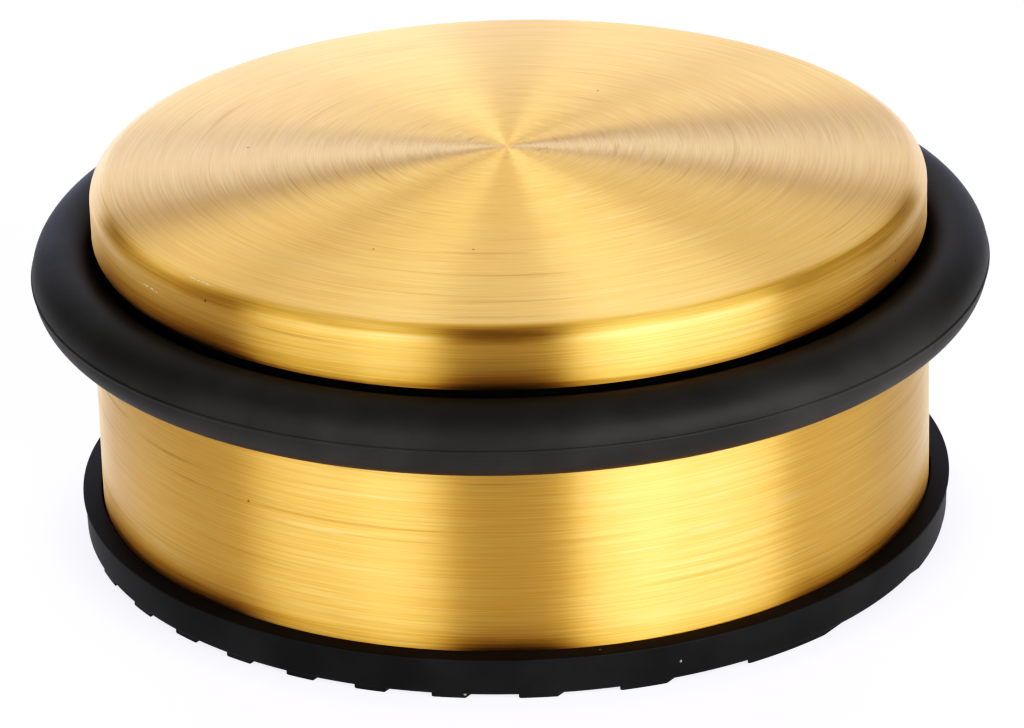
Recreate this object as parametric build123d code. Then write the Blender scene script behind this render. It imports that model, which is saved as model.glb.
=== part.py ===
from build123d import *
import math
import os

# Round floor door stop: an iron weight dressed in a brushed cap and band, with a rubber
# bumper ring in the groove between them and a ribbed rubber cup underneath.
# Sizes are in millimetres. It stands on z = 0 with its axis on Z, and -Y is its front.

# Weight and sheet metal
band_diameter = 90.0       # outside of the brushed band
band_height = 23.8         # from the seat in the rubber cup to the groove
cap_height = 6.9           # from its turned-in edge to the rim of the crown
cap_inset = 0.3            # the cap is this much smaller than the band, all round
crown_height = 2.0         # rise of the top from its rim to its middle
cap_edge_radius = 2.1      # drawn corner between crown and wall
hem_radius = 1.2           # turned-in edges beside the groove and under the band
sheet = 0.5                # thickness of the brushed sheet
fit_gap = 0.1              # between the sheet and the iron, and at the ends of the hems

# Bumper ring
ring_section = 7.8         # diameter of the rubber cord
ring_stand_out = 6.3       # how far the ring stands outside the band
ring_seat_gap = 0.2        # between the ring and the floor of its groove
ring_side_gap = 0.78       # between the ring and the turned-in edge of the band
ring_flash_height = 0.3    # mould line round the ring's equator
ring_flash_proud = 0.12

# Rubber cup
rim_width = 2.1            # top face of the cup's rim
rim_height = 2.1           # rim above the seat of the weight
cup_floor = 2.15           # rubber under the weight
cup_taper = 0.1            # the wall leans in by this much at its foot
cup_foot_radius = 0.5      # rounded lower edge
cup_gap = 0.1              # between the band and the cup's wall
lip_height = 0.35          # trimmed lip round the top of the rim
lip_proud = 0.2

# Ribs under the cup
rib_height = 0.45
rib_width = 3.2
rib_pitch = 7.8
rib_angle = 54.3           # degrees from +X
rib_shift = 2.6            # the pattern lies this far off the middle, across the ribs
rib_edge_radius = 0.3
rib_end_inset = 0.15       # the ribs end this far inside the foot of the wall

# Places that follow from the sizes above
band_radius = band_diameter / 2
cap_radius = band_radius - cap_inset
ring_radius = ring_section / 2
ring_centre_radius = band_radius + ring_stand_out - ring_radius
groove_floor_radius = ring_centre_radius - ring_radius - ring_seat_gap
mouth_radius = groove_floor_radius + fit_gap
hem_to_ring = ring_radius + hem_radius + ring_side_gap
hem_to_ring_across = ring_centre_radius - band_radius + hem_radius
groove_opening = 2 * (math.sqrt(hem_to_ring**2 - hem_to_ring_across**2) - hem_radius)
seat_z = rib_height + cup_floor
band_top_z = seat_z + band_height
cap_hem_z = band_top_z + groove_opening
ring_z = (band_top_z + cap_hem_z) / 2
crown_rim_z = cap_hem_z + cap_height
cap_top_z = crown_rim_z + crown_height
cup_inner_radius = band_radius + cup_gap
cup_outer_radius = cup_inner_radius + rim_width
cup_foot_outer_radius = cup_outer_radius - lip_proud - cup_taper
rim_z = seat_z + rim_height


def section(points):
    """Closed flat face through points given as radius and height."""
    return make_face(Polyline(*points, close=True))


def corners(face, height, radius):
    """The face's corners that lie at this height and this distance from the axis."""
    return [v for v in face.vertices() if abs(v.Y - height) < 0.001 and abs(abs(v.X) - radius) < 0.001]


def turned(face):
    """Solid of revolution of the right half of a full section."""
    tall = 2 * (cap_top_z + seat_z)
    half = face & Pos(tall, 0) * Rectangle(2 * tall, 4 * tall)
    return revolve(Plane.XZ * half, Axis.Z)


def cap_outline():
    """Full section of the cap's outside, with its crown, drawn corner and turned-in edge."""
    bottom = Line((-cap_radius, cap_hem_z), (cap_radius, cap_hem_z))
    right = Line((cap_radius, cap_hem_z), (cap_radius, crown_rim_z))
    crown = ThreePointArc((cap_radius, crown_rim_z), (0, cap_top_z), (-cap_radius, crown_rim_z))
    left = Line((-cap_radius, crown_rim_z), (-cap_radius, cap_hem_z))
    face = make_face([bottom, right, crown, left])
    face = fillet(corners(face, crown_rim_z, cap_radius), cap_edge_radius)
    return fillet(corners(face, cap_hem_z, cap_radius), hem_radius)


def band_outline():
    """Full section of the band's outside, with both edges turned in."""
    face = Pos(0, seat_z + band_height / 2) * Rectangle(2 * band_radius, band_height)
    return fillet(face.vertices(), hem_radius)


def mouth(height):
    """Round opening that a turned-in edge leaves."""
    return Pos(0, height) * Rectangle(2 * mouth_radius, 3 * hem_radius)


def top_cap():
    """Pressed cap: a sheet wall round its outline, open underneath."""
    outline = cap_outline()
    return turned(outline - offset(outline, -sheet) - mouth(cap_hem_z))


def side_band():
    """Rolled band, open at both ends."""
    outline = band_outline()
    wall = outline - offset(outline, -sheet)
    return turned(wall - mouth(seat_z) - mouth(band_top_z))


def disc(radius, bottom, top, lower_chamfer, upper_chamfer):
    """Full section of a disc with its corners cut at 45 degrees."""
    face = Pos(0, (bottom + top) / 2) * Rectangle(2 * radius, top - bottom)
    face = chamfer(corners(face, bottom, radius), lower_chamfer)
    return chamfer(corners(face, top, radius), upper_chamfer)


def core_weight():
    """Cast weight: two discs that fill the cap and the band, and the waist between them."""
    clear = sheet + fit_gap
    flat_top_z = crown_rim_z - clear
    hem_chamfer = hem_radius - clear
    upper = disc(cap_radius - clear, cap_hem_z + clear, flat_top_z, hem_chamfer, cap_edge_radius - clear)
    lower = disc(band_radius - clear, seat_z + clear, band_top_z - clear, hem_chamfer, hem_chamfer)
    waist_height = flat_top_z - seat_z
    waist = Pos(0, seat_z + waist_height / 2) * Rectangle(2 * groove_floor_radius, waist_height)
    return turned(upper + lower + waist)


def bumper_ring():
    """Round rubber cord with the mould line on its equator."""
    cord = Pos(ring_centre_radius, ring_z) * Circle(ring_radius)
    flash_reach = ring_radius + ring_flash_proud
    flash = Pos(ring_centre_radius + flash_reach / 2, ring_z) * Rectangle(flash_reach, ring_flash_height)
    return revolve(Plane.XZ * (cord + flash), Axis.Z)


def cup_body():
    """Rubber cup without its ribs: floor, leaning wall, rim and the trimmed lip."""
    wall_top_radius = cup_outer_radius - lip_proud
    face = section([
        (0, rib_height),
        (cup_foot_outer_radius, rib_height),
        (wall_top_radius, rim_z - lip_height),
        (cup_outer_radius, rim_z - lip_height),
        (cup_outer_radius, rim_z),
        (cup_inner_radius, rim_z),
        (cup_inner_radius, seat_z),
        (0, seat_z),
    ])
    face = fillet(corners(face, rib_height, cup_foot_outer_radius), cup_foot_radius)
    face = fillet(corners(face, seat_z, cup_inner_radius), hem_radius - cup_gap)
    return revolve(Plane.XZ * face, Axis.Z)


def rib(offset_from_middle):
    """One straight rib from side to side of the cup's foot, with rounded lower edges."""
    ends = cup_foot_outer_radius - rib_end_inset
    strip = Pos(0, offset_from_middle) * Rectangle(2 * ends, rib_width)
    bar = extrude(Circle(ends) & strip, rib_height + cup_floor / 2)
    return fillet(bar.edges().group_by(Axis.Z)[0], rib_edge_radius)


def base_cup():
    """Rubber cup with parallel ribs right across its underside."""
    farthest = cup_foot_outer_radius - cup_foot_radius - rib_width / 2
    first = math.ceil((-farthest - rib_shift) / rib_pitch)
    last = math.floor((farthest - rib_shift) / rib_pitch)
    cup = cup_body()
    for number in range(first, last + 1):
        cup += Rot(0, 0, rib_angle) * rib(rib_shift + number * rib_pitch)
    return cup


pieces = {
    "top_cap": top_cap,
    "side_band": side_band,
    "core_weight": core_weight,
    "bumper_ring": bumper_ring,
    "base_cup": base_cup,
}

os.makedirs("parts", exist_ok=True)
for name, make in pieces.items():
    solid = make()
    export_step(solid, f"parts/{name}.step")
    print(name, round(solid.volume), "mm3")
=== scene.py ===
import bmesh
import bpy
import math
from mathutils import Matrix, Vector


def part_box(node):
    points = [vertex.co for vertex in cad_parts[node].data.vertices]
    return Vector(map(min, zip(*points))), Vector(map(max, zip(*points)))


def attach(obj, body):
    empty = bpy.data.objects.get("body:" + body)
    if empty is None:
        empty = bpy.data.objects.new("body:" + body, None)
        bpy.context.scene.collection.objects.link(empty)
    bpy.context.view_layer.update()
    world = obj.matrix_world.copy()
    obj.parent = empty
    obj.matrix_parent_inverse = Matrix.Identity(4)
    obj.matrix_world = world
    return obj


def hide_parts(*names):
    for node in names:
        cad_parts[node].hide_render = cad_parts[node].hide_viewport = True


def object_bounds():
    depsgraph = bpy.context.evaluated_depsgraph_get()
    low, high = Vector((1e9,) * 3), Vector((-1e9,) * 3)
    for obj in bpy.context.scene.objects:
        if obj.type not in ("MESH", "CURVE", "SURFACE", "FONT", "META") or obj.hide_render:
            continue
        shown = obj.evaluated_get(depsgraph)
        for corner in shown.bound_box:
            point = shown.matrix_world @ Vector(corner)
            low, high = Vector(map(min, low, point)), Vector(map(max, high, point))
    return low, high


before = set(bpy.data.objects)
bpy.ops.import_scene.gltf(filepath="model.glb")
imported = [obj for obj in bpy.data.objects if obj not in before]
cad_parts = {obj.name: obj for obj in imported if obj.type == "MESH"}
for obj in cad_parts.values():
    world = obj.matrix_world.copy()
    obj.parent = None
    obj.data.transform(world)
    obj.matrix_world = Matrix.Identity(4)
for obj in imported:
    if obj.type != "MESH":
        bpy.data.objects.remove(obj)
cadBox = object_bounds()
print("frame loaded:", ", ".join(sorted(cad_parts)))


# node writing: wires for arithmetic, a board for every other node

class Wire:
    def __init__(self, socket):
        self.socket = socket

    def maths(self, operation, first, second):
        node = self.socket.node.id_data.nodes.new("ShaderNodeMath")
        node.operation = operation
        plug(first, node.inputs[0])
        plug(second, node.inputs[1])
        return Wire(node.outputs[0])

    def __add__(self, other):
        return self.maths("ADD", self, other)

    def __radd__(self, other):
        return self.maths("ADD", other, self)

    def __sub__(self, other):
        return self.maths("SUBTRACT", self, other)

    def __rsub__(self, other):
        return self.maths("SUBTRACT", other, self)

    def __mul__(self, other):
        return self.maths("MULTIPLY", self, other)

    def __rmul__(self, other):
        return self.maths("MULTIPLY", other, self)

    def __pow__(self, other):
        return self.maths("POWER", self, other)

    def __rpow__(self, other):
        return self.maths("POWER", other, self)

    def __abs__(self):
        return self.maths("ABSOLUTE", self, 0.0)


def plug(value, socket):
    if isinstance(value, Wire):
        socket.node.id_data.links.new(value.socket, socket)
    else:
        socket.default_value = value


class Board:
    def __init__(self, tree):
        self.tree = tree

    def add(self, kind, settings=None, values=None, output=0):
        node = self.tree.nodes.new(kind)
        for name, value in (settings or {}).items():  # settings first, they decide the sockets
            setattr(node, name, value)
        for name, value in (values or {}).items():
            plug(value, node.inputs[name])
        return Wire(node.outputs[output]) if node.outputs else node

    def ramp(self, value, low, high):
        settings = {"interpolation_type": "SMOOTHSTEP"}
        return self.add("ShaderNodeMapRange", settings, {"Value": value, "From Min": low, "From Max": high})

    def blend(self, share, first, second):
        settings = {"data_type": "RGBA"}
        values = {"Factor": share, 6: first, 7: second}  # 6 and 7 are the two colours
        return self.add("ShaderNodeMix", settings, values, output=2)

    def noise(self, place, scale, detail=2.0):
        return self.add("ShaderNodeTexNoise", values={"Vector": place, "Scale": scale, "Detail": detail})

    def cells(self, place, scale):
        return self.add("ShaderNodeTexVoronoi", values={"Vector": place, "Scale": scale}, output="Distance")

    def bump(self, strength, depth, height):
        return self.add("ShaderNodeBump", values={"Strength": strength, "Distance": depth, "Height": height})


def finish(name, values):
    # a material with one Principled shader, returned with its board
    material = bpy.data.materials.new(name)
    material.use_nodes = True
    shader = material.node_tree.nodes["Principled BSDF"]
    for socket, value in values.items():
        shader.inputs[socket].default_value = value
    return material, Board(material.node_tree), shader


fade = 0.5  # nicks, scuffs and specks fade out over this share of their size


# brushed gold, turned under the brush so that every scratch runs round the axis

goldFinish = {
    "dark": (0.79, 0.455, 0.128, 1),
    "light": (0.91, 0.59, 0.195, 1),
    "toneRange": (0.34, 0.66),      # hairs and bands below it are dark, above it light
    "toneHairs": 0.75,
    "toneBands": 0.25,
    # the colour below is darker gold for the fine and deep brush lines: painted shade in their grooves, while
    # the grooves' dip is a real bump
    "grooveShade": (0.45, 0.25, 0.07, 1),
    # the colour below is paler gold for the glint lines: painted highlights along the brush
    "glint": (0.96, 0.74, 0.38, 1),
    "roughness": 0.31,              # before the marks add theirs
    "hairRoughness": 0.18,
    "bandRoughness": 0.05,
    "deepRoughness": 0.06,
    "lacquer": 0.4,
    "lacquerRoughness": 0.24,
    "raggedness": 0.6,              # of all the brush marks
    "bumpStrength": 0.6,
    "bumpDepth": 0.000004,
    "bandHeight": 0.5,              # beside the hairs' own height of one
    "deepHeight": 0.8,
    "fineHeight": 0.4,
}
# pitch is the width across the brush, turns the number of changes round the axis (more makes them shorter)
brushMarks = {
    "hairs": {"turns": 3.0, "pitch": 0.00016, "detail": 2.0, "seed": 3.1},
    "bands": {"turns": 1.4, "pitch": 0.00090, "detail": 3.0, "seed": 17.7},
    "fine": {"turns": 4.0, "pitch": 0.00032, "detail": 1.0, "seed": 61.9},
    "deep": {"turns": 1.3, "pitch": 0.00060, "detail": 1.0, "seed": 41.3},
    "glints": {"turns": 3.0, "pitch": 0.00040, "detail": 1.0, "seed": 7.4},
}
# a higher range leaves fewer of these lines, share is how strongly they tint the sheet
lineMarks = {
    "fine": {"range": (0.60, 0.70), "share": 0.12, "tint": "grooveShade"},
    "deep": {"range": (0.66, 0.72), "share": 0.22, "tint": "grooveShade"},
    "glints": {"range": (0.62, 0.74), "share": 0.30, "tint": "glint"},
}
wearMarks = {
    "nickCells": 260.0,             # tiny dark nicks scattered over the sheet
    "nickSize": 0.05,
    "nickPatches": 90.0,
    "nickRange": (0.60, 0.64),
    "nickRoughness": 0.2,
    "nick": (0.20, 0.11, 0.04, 1),
    "scuff": (0.93, 0.80, 0.60, 1),
    "scuffs": ((-47.0, 0.0033), (-56.0, 0.0072)),  # azimuth and track, at the drawn corner left of the front
    "scuffReach": 3.0,              # degrees to each side
    "scuffWidth": 0.00010,
    "scuffGrain": 3000.0,
    "scuffRange": (0.46, 0.58),
    "scuffDullness": 0.9,           # how far a scuff loses the metal's shine
}


def makeGold():
    g, w = goldFinish, wearMarks
    constants = {
        "Metallic": 1.0,
        "Anisotropic": 1.0,  # the shader's own tangent runs round the axis
        "Anisotropic Rotation": 0.25,  # a quarter turn: rough across the scratches, not along them
        "Coat Weight": g["lacquer"],
        "Coat Roughness": g["lacquerRoughness"],
    }
    material, board, shader = finish("brushedGold", constants)
    place = board.add("ShaderNodeTexCoord", output="Object")
    axes = board.add("ShaderNodeSeparateXYZ", values={0: place})
    x, y, z = (Wire(s) for s in axes.socket.node.outputs)
    flat = board.add("ShaderNodeCombineXYZ", values={0: x, 1: y})
    radius = board.add("ShaderNodeVectorMath", {"operation": "LENGTH"}, {0: flat}, output="Value")
    heading = board.add("ShaderNodeVectorMath", {"operation": "NORMALIZE"}, {0: flat})
    track = radius - z  # grows outwards over the crown and down the wall

    def brushed(turns, pitch, detail, seed):
        ringwise = board.add("ShaderNodeVectorMath", {"operation": "SCALE"}, {0: heading, "Scale": turns})
        across = board.add("ShaderNodeCombineXYZ", values={2: track * (1 / pitch) + seed})
        spot = board.add("ShaderNodeVectorMath", {"operation": "ADD"}, {0: ringwise, 1: across})
        values = {"Vector": spot, "Scale": 1.0, "Detail": detail, "Roughness": g["raggedness"]}
        return board.add("ShaderNodeTexNoise", values=values)

    marks = {name: brushed(**mark) for name, mark in brushMarks.items()}
    hairs, bands = marks["hairs"], marks["bands"]
    lines = {name: board.ramp(marks[name], *line["range"]) for name, line in lineMarks.items()}
    fine, deep = lines["fine"], lines["deep"]

    chance = board.ramp(board.noise(place, w["nickPatches"]), *w["nickRange"])
    nicks = board.ramp(board.cells(place, w["nickCells"]), w["nickSize"], w["nickSize"] * fade) * chance

    torn = board.ramp(board.noise(place, w["scuffGrain"]), *w["scuffRange"])
    scuffs = 0.0
    for azimuth, scuffTrack in w["scuffs"]:
        a = math.radians(azimuth)
        toward = board.add("ShaderNodeVectorMath", {"operation": "DOT_PRODUCT"},
                           {0: heading, 1: (math.sin(a), -math.cos(a), 0)}, output="Value")
        near = board.ramp(toward, math.cos(math.radians(w["scuffReach"])), 1.0)
        edge = board.ramp(abs(track - scuffTrack), w["scuffWidth"] * (1 + fade), w["scuffWidth"] * (1 - fade))
        scuffs = scuffs + near * edge * torn

    tone = board.ramp(hairs * g["toneHairs"] + bands * g["toneBands"], *g["toneRange"])
    colour = board.blend(tone, g["dark"], g["light"])
    # the fine and deep lines get painted groove shade and the glint lines get painted highlights, laid over
    # the real brush marks
    for name, line in lineMarks.items():
        colour = board.blend(lines[name] * line["share"], colour, g[line["tint"]])
    colour = board.blend(nicks, colour, w["nick"])
    plug(board.blend(scuffs, colour, w["scuff"]), shader.inputs["Base Color"])
    plug(1.0 - scuffs * w["scuffDullness"], shader.inputs["Metallic"])
    rough = hairs * g["hairRoughness"] + bands * g["bandRoughness"] + deep * g["deepRoughness"]
    plug(rough + nicks * w["nickRoughness"] + g["roughness"], shader.inputs["Roughness"])
    height = hairs + bands * g["bandHeight"] - deep * g["deepHeight"] - fine * g["fineHeight"]
    plug(board.bump(g["bumpStrength"], g["bumpDepth"], height), shader.inputs["Normal"])
    return material


# moulded rubber: satin black, faint mottling, a few specks of dust

ringLitFinish = {
    # the ring's colour is lighter than the foot's rubber: painted light from above on the ring; its dust,
    # mottle and shine are its own
    "colour": (0.046, 0.044, 0.041, 1),
    "worn": (0.062, 0.060, 0.056, 1),
    "dust": (0.45, 0.43, 0.40, 1),
    "roughness": 0.42,      # before mottle and grain add theirs
    "specular": 0.24,
    "dustSize": 0.05,
    "dustShare": 0.66,      # a higher value leaves fewer specks
}
footFinish = {
    "colour": (0.023, 0.0225, 0.022, 1),
    "worn": (0.036, 0.035, 0.034, 1),
    "dust": (0.50, 0.48, 0.45, 1),
    "roughness": 0.40,
    "specular": 0.20,
    "dustSize": 0.09,
    "dustShare": 0.60,
}
rubberGrain = {
    "grain": 2600.0,
    "mottle": 90.0,
    "mottleRange": (0.35, 0.7),
    "mottleRoughness": 0.16,
    "grainRoughness": 0.08,
    "dustScale": 420.0,
    "dustPatches": 130.0,
    "dustFade": 0.04,
    "dustRoughness": 0.2,
    "bumpStrength": 0.25,
    "bumpDepth": 0.00002,
}


def makeRubber(name, r):
    g = rubberGrain
    material, board, shader = finish(name, {"Specular IOR Level": r["specular"]})
    place = board.add("ShaderNodeTexCoord", output="Object")
    mottle = board.noise(place, g["mottle"], 4.0)
    grain = board.noise(place, g["grain"], 2.0)
    patches = board.noise(place, g["dustPatches"], 1.0)
    chance = board.ramp(patches, r["dustShare"], r["dustShare"] + g["dustFade"])
    speck = board.ramp(board.cells(place, g["dustScale"]), r["dustSize"], r["dustSize"] * fade) * chance
    colour = board.blend(board.ramp(mottle, *g["mottleRange"]), r["colour"], r["worn"])
    plug(board.blend(speck, colour, r["dust"]), shader.inputs["Base Color"])
    rough = mottle * g["mottleRoughness"] + grain * g["grainRoughness"] + speck * g["dustRoughness"]
    plug(rough + r["roughness"], shader.inputs["Roughness"])
    plug(board.bump(g["bumpStrength"], g["bumpDepth"], grain), shader.inputs["Normal"])
    return material


# bare cast iron, for the weight inside; its near-black colour is painted shade for the deep gap between cap
# and band where the weight shows

ironFinish = {
    # near black: painted shade for the gap the weight shows through
    "colour": (0.012, 0.011, 0.010, 1),
    "bright": (0.030, 0.028, 0.026, 1),
    "brightRange": (0.35, 0.7),
    "metal": 0.3,
    "specular": 0.2,
    "roughness": 0.55,      # before the sand adds its own
    "sand": 900.0,
    "sandRoughness": 0.3,
    "bumpStrength": 0.6,
    "bumpDepth": 0.0001,
}


def makeIron():
    i = ironFinish
    constants = {"Metallic": i["metal"], "Specular IOR Level": i["specular"]}
    material, board, shader = finish("castIron", constants)
    place = board.add("ShaderNodeTexCoord", output="Object")
    sand = board.noise(place, i["sand"], 5.0)
    colour = board.blend(board.ramp(sand, *i["brightRange"]), i["colour"], i["bright"])
    plug(colour, shader.inputs["Base Color"])
    plug(sand * i["sandRoughness"] + i["roughness"], shader.inputs["Roughness"])
    plug(board.bump(i["bumpStrength"], i["bumpDepth"], sand), shader.inputs["Normal"])
    return material


gold = makeGold()
ringRubber = makeRubber("ringRubber", ringLitFinish)
footRubber = makeRubber("footRubber", footFinish)
iron = makeIron()
print("materials made")


# turned pieces: a profile of radius and height points, swept round the axis

foldAngle = 32  # degrees, a sharper fold between two faces of a turned piece keeps its edge


def arc(centre, radius, start, end, steps):
    # points of an arc, angles in degrees from the outward direction
    angles = [math.radians(start + (end - start) * i / steps) for i in range(steps + 1)]
    return [(centre[0] + radius * math.cos(a), centre[1] + radius * math.sin(a)) for a in angles]


def turn(name, profile, turns, closed, material):
    # a profile point on the axis gets one pole vertex
    shape = bmesh.new()
    angles = [2 * math.pi * i / turns for i in range(turns)]
    rings = []
    for radius, height in profile:
        spots = [(radius * math.cos(a), radius * math.sin(a), height) for a in angles]
        rings.append([shape.verts.new(spot) for spot in (spots if radius else spots[:1])])
    pairs = list(zip(rings, rings[1:]))
    if closed:
        pairs.append((rings[-1], rings[0]))
    for first, second in pairs:
        for i in range(turns):
            j = (i + 1) % turns
            around = ((first, i), (first, j), (second, j), (second, i))
            corners = [verts[k % len(verts)] for verts, k in around]
            shape.faces.new(list(dict.fromkeys(corners)))  # at a pole two corners are one
    bmesh.ops.recalc_face_normals(shape, faces=shape.faces)
    return addPiece(name, shape, material)


def addPiece(name, shape, material):
    mesh = bpy.data.meshes.new(name)
    shape.to_mesh(mesh)
    shape.free()
    mesh.shade_smooth()
    mesh.set_sharp_from_angle(angle=math.radians(foldAngle))
    mesh.materials.append(material)
    piece = bpy.data.objects.new(name, mesh)
    bpy.context.scene.collection.objects.link(piece)
    return piece


ringSizes = {
    "mouldLineProud": 0.00012,
    "mouldLineRadius": 0.00030,
    "mouthGap": 0.0001,     # between the ring and the round openings in cap and band
    "turns": 320,
    "sides": 72,
    "lineSides": 10,
    "foldAngle": 60,
}
ringLow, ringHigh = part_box("bumper_ring")
cordRadius = (ringHigh.z - ringLow.z) / 2
ringRadius = ringHigh.y - ringSizes["mouldLineProud"] - cordRadius
ringHeight = (ringHigh.z + ringLow.z) / 2
mouthRadius = ringRadius - cordRadius - ringSizes["mouthGap"]

sheetSizes = {"thickness": 0.0005, "hemRadius": 0.0012, "hemSteps": 8, "turns": 320}
capSizes = {"edgeRadius": 0.0021, "edgeSteps": 10, "crown": 0.0020, "crownSteps": 24}


def capLine(inset):
    # from the middle of the crown, over the drawn corner and down the wall to the turned-in edge
    low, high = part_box("top_cap")
    wall, edge, hem = high.x, capSizes["edgeRadius"], sheetSizes["hemRadius"]
    crown = capSizes["crown"]
    crownRadius = (wall**2 + crown**2) / (2 * crown)
    crownCentre = high.z - crownRadius
    cornerRadius = wall - edge
    cornerHeight = crownCentre + math.sqrt((crownRadius - edge) ** 2 - cornerRadius**2)
    lean = math.degrees(math.asin(cornerRadius / (crownRadius - edge)))
    line = arc((0, crownCentre), crownRadius - inset, 90, 90 - lean, capSizes["crownSteps"])
    line[0] = (0.0, high.z - inset)
    line += arc((cornerRadius, cornerHeight), edge - inset, 90 - lean, 0, capSizes["edgeSteps"])[1:]
    line += arc((wall - hem, low.z + hem), hem - inset, 0, -90, sheetSizes["hemSteps"])
    return line + [(mouthRadius, low.z + inset)]


def makeCap():
    profile = capLine(0.0) + capLine(sheetSizes["thickness"])[::-1]
    return turn("topCap", profile, sheetSizes["turns"], False, gold)


def bandLine(inset):
    # from the opening above, down the wall to the opening below
    low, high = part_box("side_band")
    hem, steps = sheetSizes["hemRadius"], sheetSizes["hemSteps"]
    line = [(mouthRadius, high.z - inset)]
    line += arc((high.x - hem, high.z - hem), hem - inset, 90, 0, steps)
    line += arc((high.x - hem, low.z + hem), hem - inset, 0, -90, steps)
    return line + [(mouthRadius, low.z + inset)]


def makeBand():
    profile = bandLine(0.0) + bandLine(sheetSizes["thickness"])[::-1]
    return turn("sideBand", profile, sheetSizes["turns"], True, gold)


cupSizes = {
    "lipHeight": 0.00035,
    "lipProud": 0.0002,
    "taper": 0.0001,
    "footRadius": 0.0005,
    "innerGap": 0.0001,     # between the band and the cup's wall
    "rimRound": 0.00015,
    "roundSteps": 6,
    "rimSteps": 4,
    "floorRings": (0.33, 0.66, 0.9),    # extra rings of vertices, as shares of the radius
    "seatRings": (0.6, 0.3),
    "turns": 320,
}
ribSizes = {
    "height": 0.00045,
    "width": 0.0032,
    "pitch": 0.0078,
    "angle": 54.3,
    "shift": 0.0026,        # the pattern lies this far off the middle
    "edge": 0.0003,
    "endInset": 0.00015,
    "sunk": 0.001,          # how far the ribs reach up into the cup's floor
    "foldAngle": 40,
}
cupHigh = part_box("base_cup")[1]
cupFootRadius = cupHigh.x - cupSizes["lipProud"] - cupSizes["taper"]


def makeCup():
    # from the middle of the underside, up the leaning wall, over the lip and down to the seat of the band
    c = cupSizes
    bandLow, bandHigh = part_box("side_band")
    under, seat, top = ribSizes["height"], bandLow.z, cupHigh.z
    foot, rim = c["footRadius"], c["rimRound"]
    inner = bandHigh.x + c["innerGap"]
    hem = sheetSizes["hemRadius"] - c["innerGap"]
    profile = [(0.0, under)] + [(cupFootRadius * share, under) for share in c["floorRings"]]
    profile += arc((cupFootRadius - foot, under + foot), foot, -90, 0, c["roundSteps"])
    profile += [(cupHigh.x - c["lipProud"], top - c["lipHeight"]), (cupHigh.x, top - c["lipHeight"])]
    profile += arc((cupHigh.x - rim, top - rim), rim, 0, 90, c["rimSteps"])
    profile += [(inner + rim, top)] + arc((inner + rim, top - rim), rim, 90, 180, c["rimSteps"])
    profile += arc((inner - hem, seat + hem), hem, 0, -90, c["roundSteps"])
    profile += [(inner * share, seat) for share in c["seatRings"]] + [(0.0, seat)]
    return turn("baseCup", profile, c["turns"], False, footRubber)


cap = makeCap()
band = makeBand()
cup = makeCup()
print("cap, band and cup turned")


# geometry nodes: the ring is a round cord swept round a circle, the ribs are bars set out by their pitch

def newTree(name, inputs):
    tree = bpy.data.node_groups.new(name, "GeometryNodeTree")
    for label, kind in inputs.items():
        tree.interface.new_socket(name=label, in_out="INPUT", socket_type=kind)
    tree.interface.new_socket(name="Geometry", in_out="OUTPUT", socket_type="NodeSocketGeometry")
    board = Board(tree)
    sockets = board.add("NodeGroupInput").socket.node.outputs
    return tree, board, {label: Wire(sockets[label]) for label in inputs}


def closeTree(board, geometry, material):
    # every tree ends in real, smooth, painted faces
    real = board.add("GeometryNodeRealizeInstances", values={"Geometry": geometry})
    smooth = board.add("GeometryNodeSetShadeSmooth", values={"Geometry": real})
    painted = board.add("GeometryNodeSetMaterial", values={"Geometry": smooth, "Material": material})
    board.add("NodeGroupOutput", values={"Geometry": painted})


def bake(name, tree, values, sharpAngle):
    # run the tree on an empty mesh and keep the result as a plain mesh
    holder = bpy.data.objects.new(name, bpy.data.meshes.new(name + "Start"))
    bpy.context.scene.collection.objects.link(holder)
    modifier = holder.modifiers.new("shape", "NODES")
    modifier.node_group = tree
    for item in tree.interface.items_tree:
        if item.item_type == "SOCKET" and item.in_out == "INPUT":
            modifier[item.identifier] = values[item.name]
    bpy.context.view_layer.update()
    evaluated = holder.evaluated_get(bpy.context.evaluated_depsgraph_get())
    mesh = bpy.data.meshes.new_from_object(evaluated)
    mesh.name = name
    holder.modifiers.remove(modifier)
    holder.data = mesh
    mesh.set_sharp_from_angle(angle=math.radians(sharpAngle))
    return holder


def ringTree():
    number, whole = "NodeSocketFloat", "NodeSocketInt"
    tree, board, size = newTree("bumperRingShape", {
        "Ring Radius": number, "Cord Radius": number, "Height": number, "Line Radius": number,
        "Line Proud": number, "Turns": whole, "Sides": whole, "Line Sides": whole,
        "Material": "NodeSocketMaterial"})

    def cord(ringRadius, cordRadius, sides):
        circle = "GeometryNodeCurvePrimitiveCircle"
        path = board.add(circle, values={"Resolution": size["Turns"], "Radius": ringRadius})
        section = board.add(circle, values={"Resolution": sides, "Radius": cordRadius})
        return board.add("GeometryNodeCurveToMesh", values={"Curve": path, "Profile Curve": section})

    reach = size["Ring Radius"] + size["Cord Radius"]
    body = cord(size["Ring Radius"], size["Cord Radius"], size["Sides"])
    lineReach = reach + size["Line Proud"] - size["Line Radius"]
    mouldLine = cord(lineReach, size["Line Radius"], size["Line Sides"])
    parts = board.add("GeometryNodeJoinGeometry", values={0: body})
    plug(mouldLine, parts.socket.node.inputs[0])
    lift = board.add("ShaderNodeCombineXYZ", values={2: size["Height"]})
    raised = board.add("GeometryNodeTransform", values={"Geometry": parts, "Translation": lift})
    closeTree(board, raised, size["Material"])
    return tree


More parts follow.
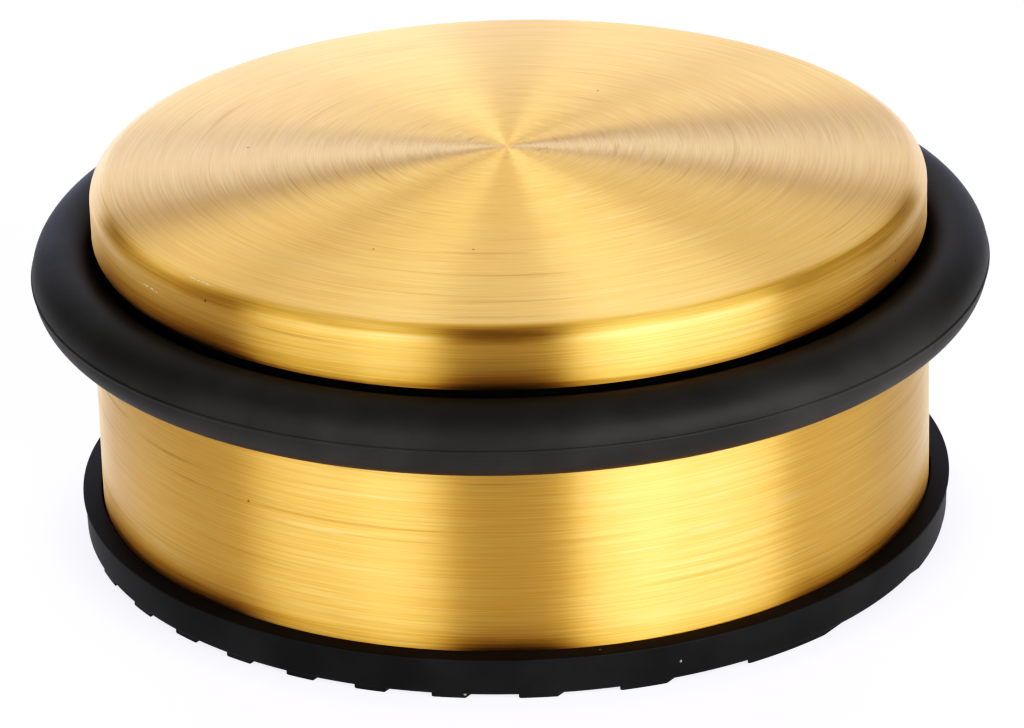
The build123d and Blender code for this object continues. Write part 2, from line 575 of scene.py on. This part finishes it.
def ribTree():
    # a block whose points are moved by rule: rounded below, cut off on the circle of the foot
    number = "NodeSocketFloat"
    tree, board, size = newTree("cupRibShape", {
        "Count": "NodeSocketInt", "First": number, "Pitch": number, "Width": number, "Depth": number,
        "Edge": number, "Reach": number, "Angle": number, "Material": "NodeSocketMaterial"})
    layers, roundLayers = 6, 5  # the lowest five make the rounded edge, the last one the side

    def store(geometry, name, value):
        settings = {"data_type": "FLOAT_VECTOR", "domain": "POINT"}
        values = {"Geometry": geometry, "Name": name, "Value": value}
        return board.add("GeometryNodeStoreNamedAttribute", settings, values)

    def parts(name):
        named = board.add("GeometryNodeInputNamedAttribute", {"data_type": "FLOAT_VECTOR"}, {"Name": name})
        split = board.add("ShaderNodeSeparateXYZ", values={0: named})
        return [Wire(s) for s in split.socket.node.outputs]

    spot = board.add("GeometryNodeInputPosition")
    line = board.add("GeometryNodeMeshLine", values={
        "Count": size["Count"],
        "Start Location": board.add("ShaderNodeCombineXYZ", values={1: size["First"]}),
        "Offset": board.add("ShaderNodeCombineXYZ", values={1: size["Pitch"]})})
    # the block runs from -1 to 1 along and across, and from -0.5 to 0.5 in height
    block = board.add("GeometryNodeMeshCube", values={
        "Size": (2, 2, 1), "Vertices X": 3, "Vertices Y": 9, "Vertices Z": layers + 1})
    bars = board.add("GeometryNodeInstanceOnPoints", values={
        "Points": store(line, "ribPlace", spot), "Instance": store(block, "blockPlace", spot)})
    real = board.add("GeometryNodeRealizeInstances", values={"Geometry": bars})
    along, across, up = parts("blockPlace")
    offset = parts("ribPlace")[1]
    layer = (up + 0.5) * layers
    bend = layer.maths("MINIMUM", layer, roundLayers) * (math.pi / 2 / roundLayers)
    inset = size["Edge"] * (1.0 - bend.maths("SINE", bend, 0.0))
    rounded = size["Edge"] * (1.0 - bend.maths("COSINE", bend, 0.0))
    above = layer.maths("MAXIMUM", layer - roundLayers, 0.0)
    height = rounded + above * (size["Depth"] - size["Edge"])
    side = offset + across * (size["Width"] * 0.5 - inset)
    half = ((size["Reach"] - inset) ** 2.0 - side ** 2.0) ** 0.5
    place = board.add("ShaderNodeCombineXYZ", values={0: along * half, 1: side, 2: height})
    shaped = board.add("GeometryNodeSetPosition", values={"Geometry": real, "Position": place})
    for name in ("ribPlace", "blockPlace"):
        shaped = board.add("GeometryNodeRemoveAttribute", values={"Geometry": shaped, "Name": name})
    turned = board.add("GeometryNodeTransform", values={
        "Geometry": shaped, "Rotation": board.add("ShaderNodeCombineXYZ", values={2: size["Angle"]})})
    closeTree(board, turned, size["Material"])
    return tree


ring = bake("bumperRing", ringTree(), {
    "Ring Radius": ringRadius, "Cord Radius": cordRadius, "Height": ringHeight,
    "Line Radius": ringSizes["mouldLineRadius"], "Line Proud": ringSizes["mouldLineProud"],
    "Turns": ringSizes["turns"], "Sides": ringSizes["sides"], "Line Sides": ringSizes["lineSides"],
    "Material": ringRubber}, ringSizes["foldAngle"])

farthest = cupFootRadius - cupSizes["footRadius"] - ribSizes["width"] / 2
firstRib = math.ceil((-farthest - ribSizes["shift"]) / ribSizes["pitch"])
lastRib = math.floor((farthest - ribSizes["shift"]) / ribSizes["pitch"])
ribs = bake("cupRibs", ribTree(), {
    "Count": lastRib - firstRib + 1, "First": ribSizes["shift"] + firstRib * ribSizes["pitch"],
    "Pitch": ribSizes["pitch"], "Width": ribSizes["width"], "Depth": ribSizes["height"] + ribSizes["sunk"],
    "Edge": ribSizes["edge"], "Reach": cupFootRadius - ribSizes["endInset"],
    "Angle": math.radians(ribSizes["angle"]), "Material": footRubber}, ribSizes["foldAngle"])
print("ring swept,", lastRib - firstRib + 1, "ribs laid out")


# which CAD node each piece stands for

for piece, node, slotName in (
    (cap, "top_cap", "brushed_gold"),
    (band, "side_band", "brushed_gold"),
    (ring, "bumper_ring", "bumper_rubber"),
    (cup, "base_cup", "foot_rubber"),
    (ribs, "base_cup", "foot_rubber"),
):
    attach(piece, "root")
    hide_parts(node)
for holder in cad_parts["core_weight"].material_slots:
    holder.material = iron


# floor, lights and camera

# the floor is a light table: it glows a little, so shadows stay pale and cool
floorLook = {
    "size": 6.0,
    "colour": (0.37, 0.37, 0.37, 1),
    "cloudColour": (1, 1, 1, 1),
    "cloudScale": 1.5,
    "cloudShare": 0.05,
    "roughness": 0.9,
    "specular": 0.1,
    "glowColour": (0.93, 0.93, 1.0, 1),
    "glow": 0.80,
}


def makeFloor():
    f = floorLook
    material, board, shader = finish("paleFloor", {
        "Roughness": f["roughness"], "Specular IOR Level": f["specular"],
        "Emission Color": f["glowColour"], "Emission Strength": f["glow"]})
    place = board.add("ShaderNodeTexCoord", output="Object")
    cloud = board.noise(place, f["cloudScale"])
    plug(board.blend(cloud * f["cloudShare"], f["colour"], f["cloudColour"]), shader.inputs["Base Color"])
    shape = bmesh.new()
    bmesh.ops.create_grid(shape, x_segments=2, y_segments=2, size=f["size"] / 2)
    floor = addPiece("floor", shape, material)


coolWhite = (0.94, 1.0, 1.28)
# azimuth 0 is the camera's side and grows to the right
# glow is how bright the panel's face is, whatever its size
# flat panels give the sharp edges of the bands, ellipses the soft ones
lightPanels = {
    "leftPanel": {"shape": "RECTANGLE", "azimuth": -30, "elevation": 18, "distance": 1.1,
                  "width": 0.39, "height": 0.62, "glow": 1.5},
    "leftFade": {"shape": "ELLIPSE", "azimuth": -46, "elevation": 18, "distance": 1.12,
                 "width": 1.14, "height": 0.70, "glow": 2.3},
    "rightPanel": {"shape": "RECTANGLE", "azimuth": 27.3, "elevation": 18, "distance": 1.1,
                   "width": 0.50, "height": 0.62, "glow": 1.7},
    "rightFade": {"shape": "ELLIPSE", "azimuth": 44, "elevation": 15, "distance": 1.12,
                  "width": 1.24, "height": 0.66, "glow": 3.95},
    "rightTail": {"shape": "ELLIPSE", "azimuth": 88, "elevation": 18, "distance": 1.12,
                  "width": 0.90, "height": 0.70, "glow": 0.5},
    "backWall": {"shape": "RECTANGLE", "azimuth": 181, "elevation": 10, "distance": 1.5,
                 "width": 2.3, "height": 0.60, "glow": 1.45, "colour": coolWhite},
    "backGlare": {"shape": "ELLIPSE", "azimuth": 192, "elevation": 11, "distance": 1.4,
                  "width": 0.60, "height": 0.40, "glow": 0.65, "colour": coolWhite},
    "backPanel": {"shape": "ELLIPSE", "azimuth": 190, "elevation": 46, "distance": 1.3,
                  "width": 2.4, "height": 0.75, "glow": 1.22},
    "backStrip": {"shape": "ELLIPSE", "azimuth": 177, "elevation": 52, "distance": 1.2,
                  "width": 0.46, "height": 0.85, "glow": 1.15},
}
skyLight = {"colour": (0.93, 0.95, 1.0, 1), "strength": 0.08}


def makeLights():
    middle = Vector((0, 0, cadBox[1][2] / 2))
    for name, p in lightPanels.items():
        light = bpy.data.lights.new(name, "AREA")
        light.shape = p["shape"]
        light.size, light.size_y = p["width"], p["height"]
        light.energy = p["glow"] * math.pi * p["width"] * p["height"]
        light.color = p.get("colour", (1, 1, 1))
        lamp = bpy.data.objects.new(name, light)
        a, e = math.radians(p["azimuth"]), math.radians(p["elevation"])
        out = Vector((math.sin(a) * math.cos(e), -math.cos(a) * math.cos(e), math.sin(e)))
        lamp.location = middle + out * p["distance"]
        lamp.rotation_euler = out.to_track_quat("Z", "Y").to_euler()
        bpy.context.scene.collection.objects.link(lamp)
    world = bpy.data.worlds.new("studio")
    world.use_nodes = True
    sky = world.node_tree.nodes["Background"].inputs
    sky["Color"].default_value = skyLight["colour"]
    sky["Strength"].default_value = skyLight["strength"]
    bpy.context.scene.world = world


cameraView = {
    "distance": 0.6322,      # from the middle of the body
    "elevation": 23.483,
    "aimHeight": 0.0225,
    "dip": -0.477,           # the lens looks a little below that height
    "swing": -0.011,
    "roll": -1.597,
    "focalPixels": 5855.0,
    "pictureWidth": 1024.0,
    "sensorWidth": 36.0,
    "nearest": 0.01,
}


def makeCamera():
    v = cameraView
    lens = bpy.data.cameras.new("camera")
    lens.sensor_width = v["sensorWidth"]
    lens.lens = v["focalPixels"] / v["pictureWidth"] * lens.sensor_width
    lens.clip_start = v["nearest"]
    rise, look = math.radians(v["elevation"]), math.radians(-v["elevation"] + v["dip"])
    swing, roll = math.radians(v["swing"]), math.radians(v["roll"])
    spot = Vector((0, -v["distance"] * math.cos(rise), v["aimHeight"] + v["distance"] * math.sin(rise)))
    ahead = Vector((math.sin(swing) * math.cos(look), math.cos(swing) * math.cos(look), math.sin(look)))
    level = ahead.cross(Vector((0, 0, 1))).normalized()
    upright = level.cross(ahead)
    right = level * math.cos(roll) + upright * math.sin(roll)
    up = upright * math.cos(roll) - level * math.sin(roll)
    pose = Matrix((right, up, -ahead)).transposed().to_4x4()
    pose.translation = spot
    camera = bpy.data.objects.new("camera", lens)
    camera.matrix_world = pose
    bpy.context.scene.collection.objects.link(camera)
    bpy.context.scene.camera = camera


# print contrast like that of the photograph: deep darks, and whites that stay white
printLook = {
    "transform": "Standard",
    "curve": ((0.06, 0.012), (0.12, 0.05), (0.2, 0.14), (0.3, 0.27), (0.46, 0.47), (0.72, 0.76)),
}


def setLook():
    settings = bpy.context.scene.view_settings
    settings.view_transform = printLook["transform"]
    settings.use_curve_mapping = True
    brightness = settings.curve_mapping.curves[3]  # 0 to 2 are red, green and blue alone
    for spot in printLook["curve"]:
        brightness.points.new(*spot)
    settings.curve_mapping.update()


makeFloor()
makeLights()
makeCamera()
setLook()
print("floor, lights and camera set")
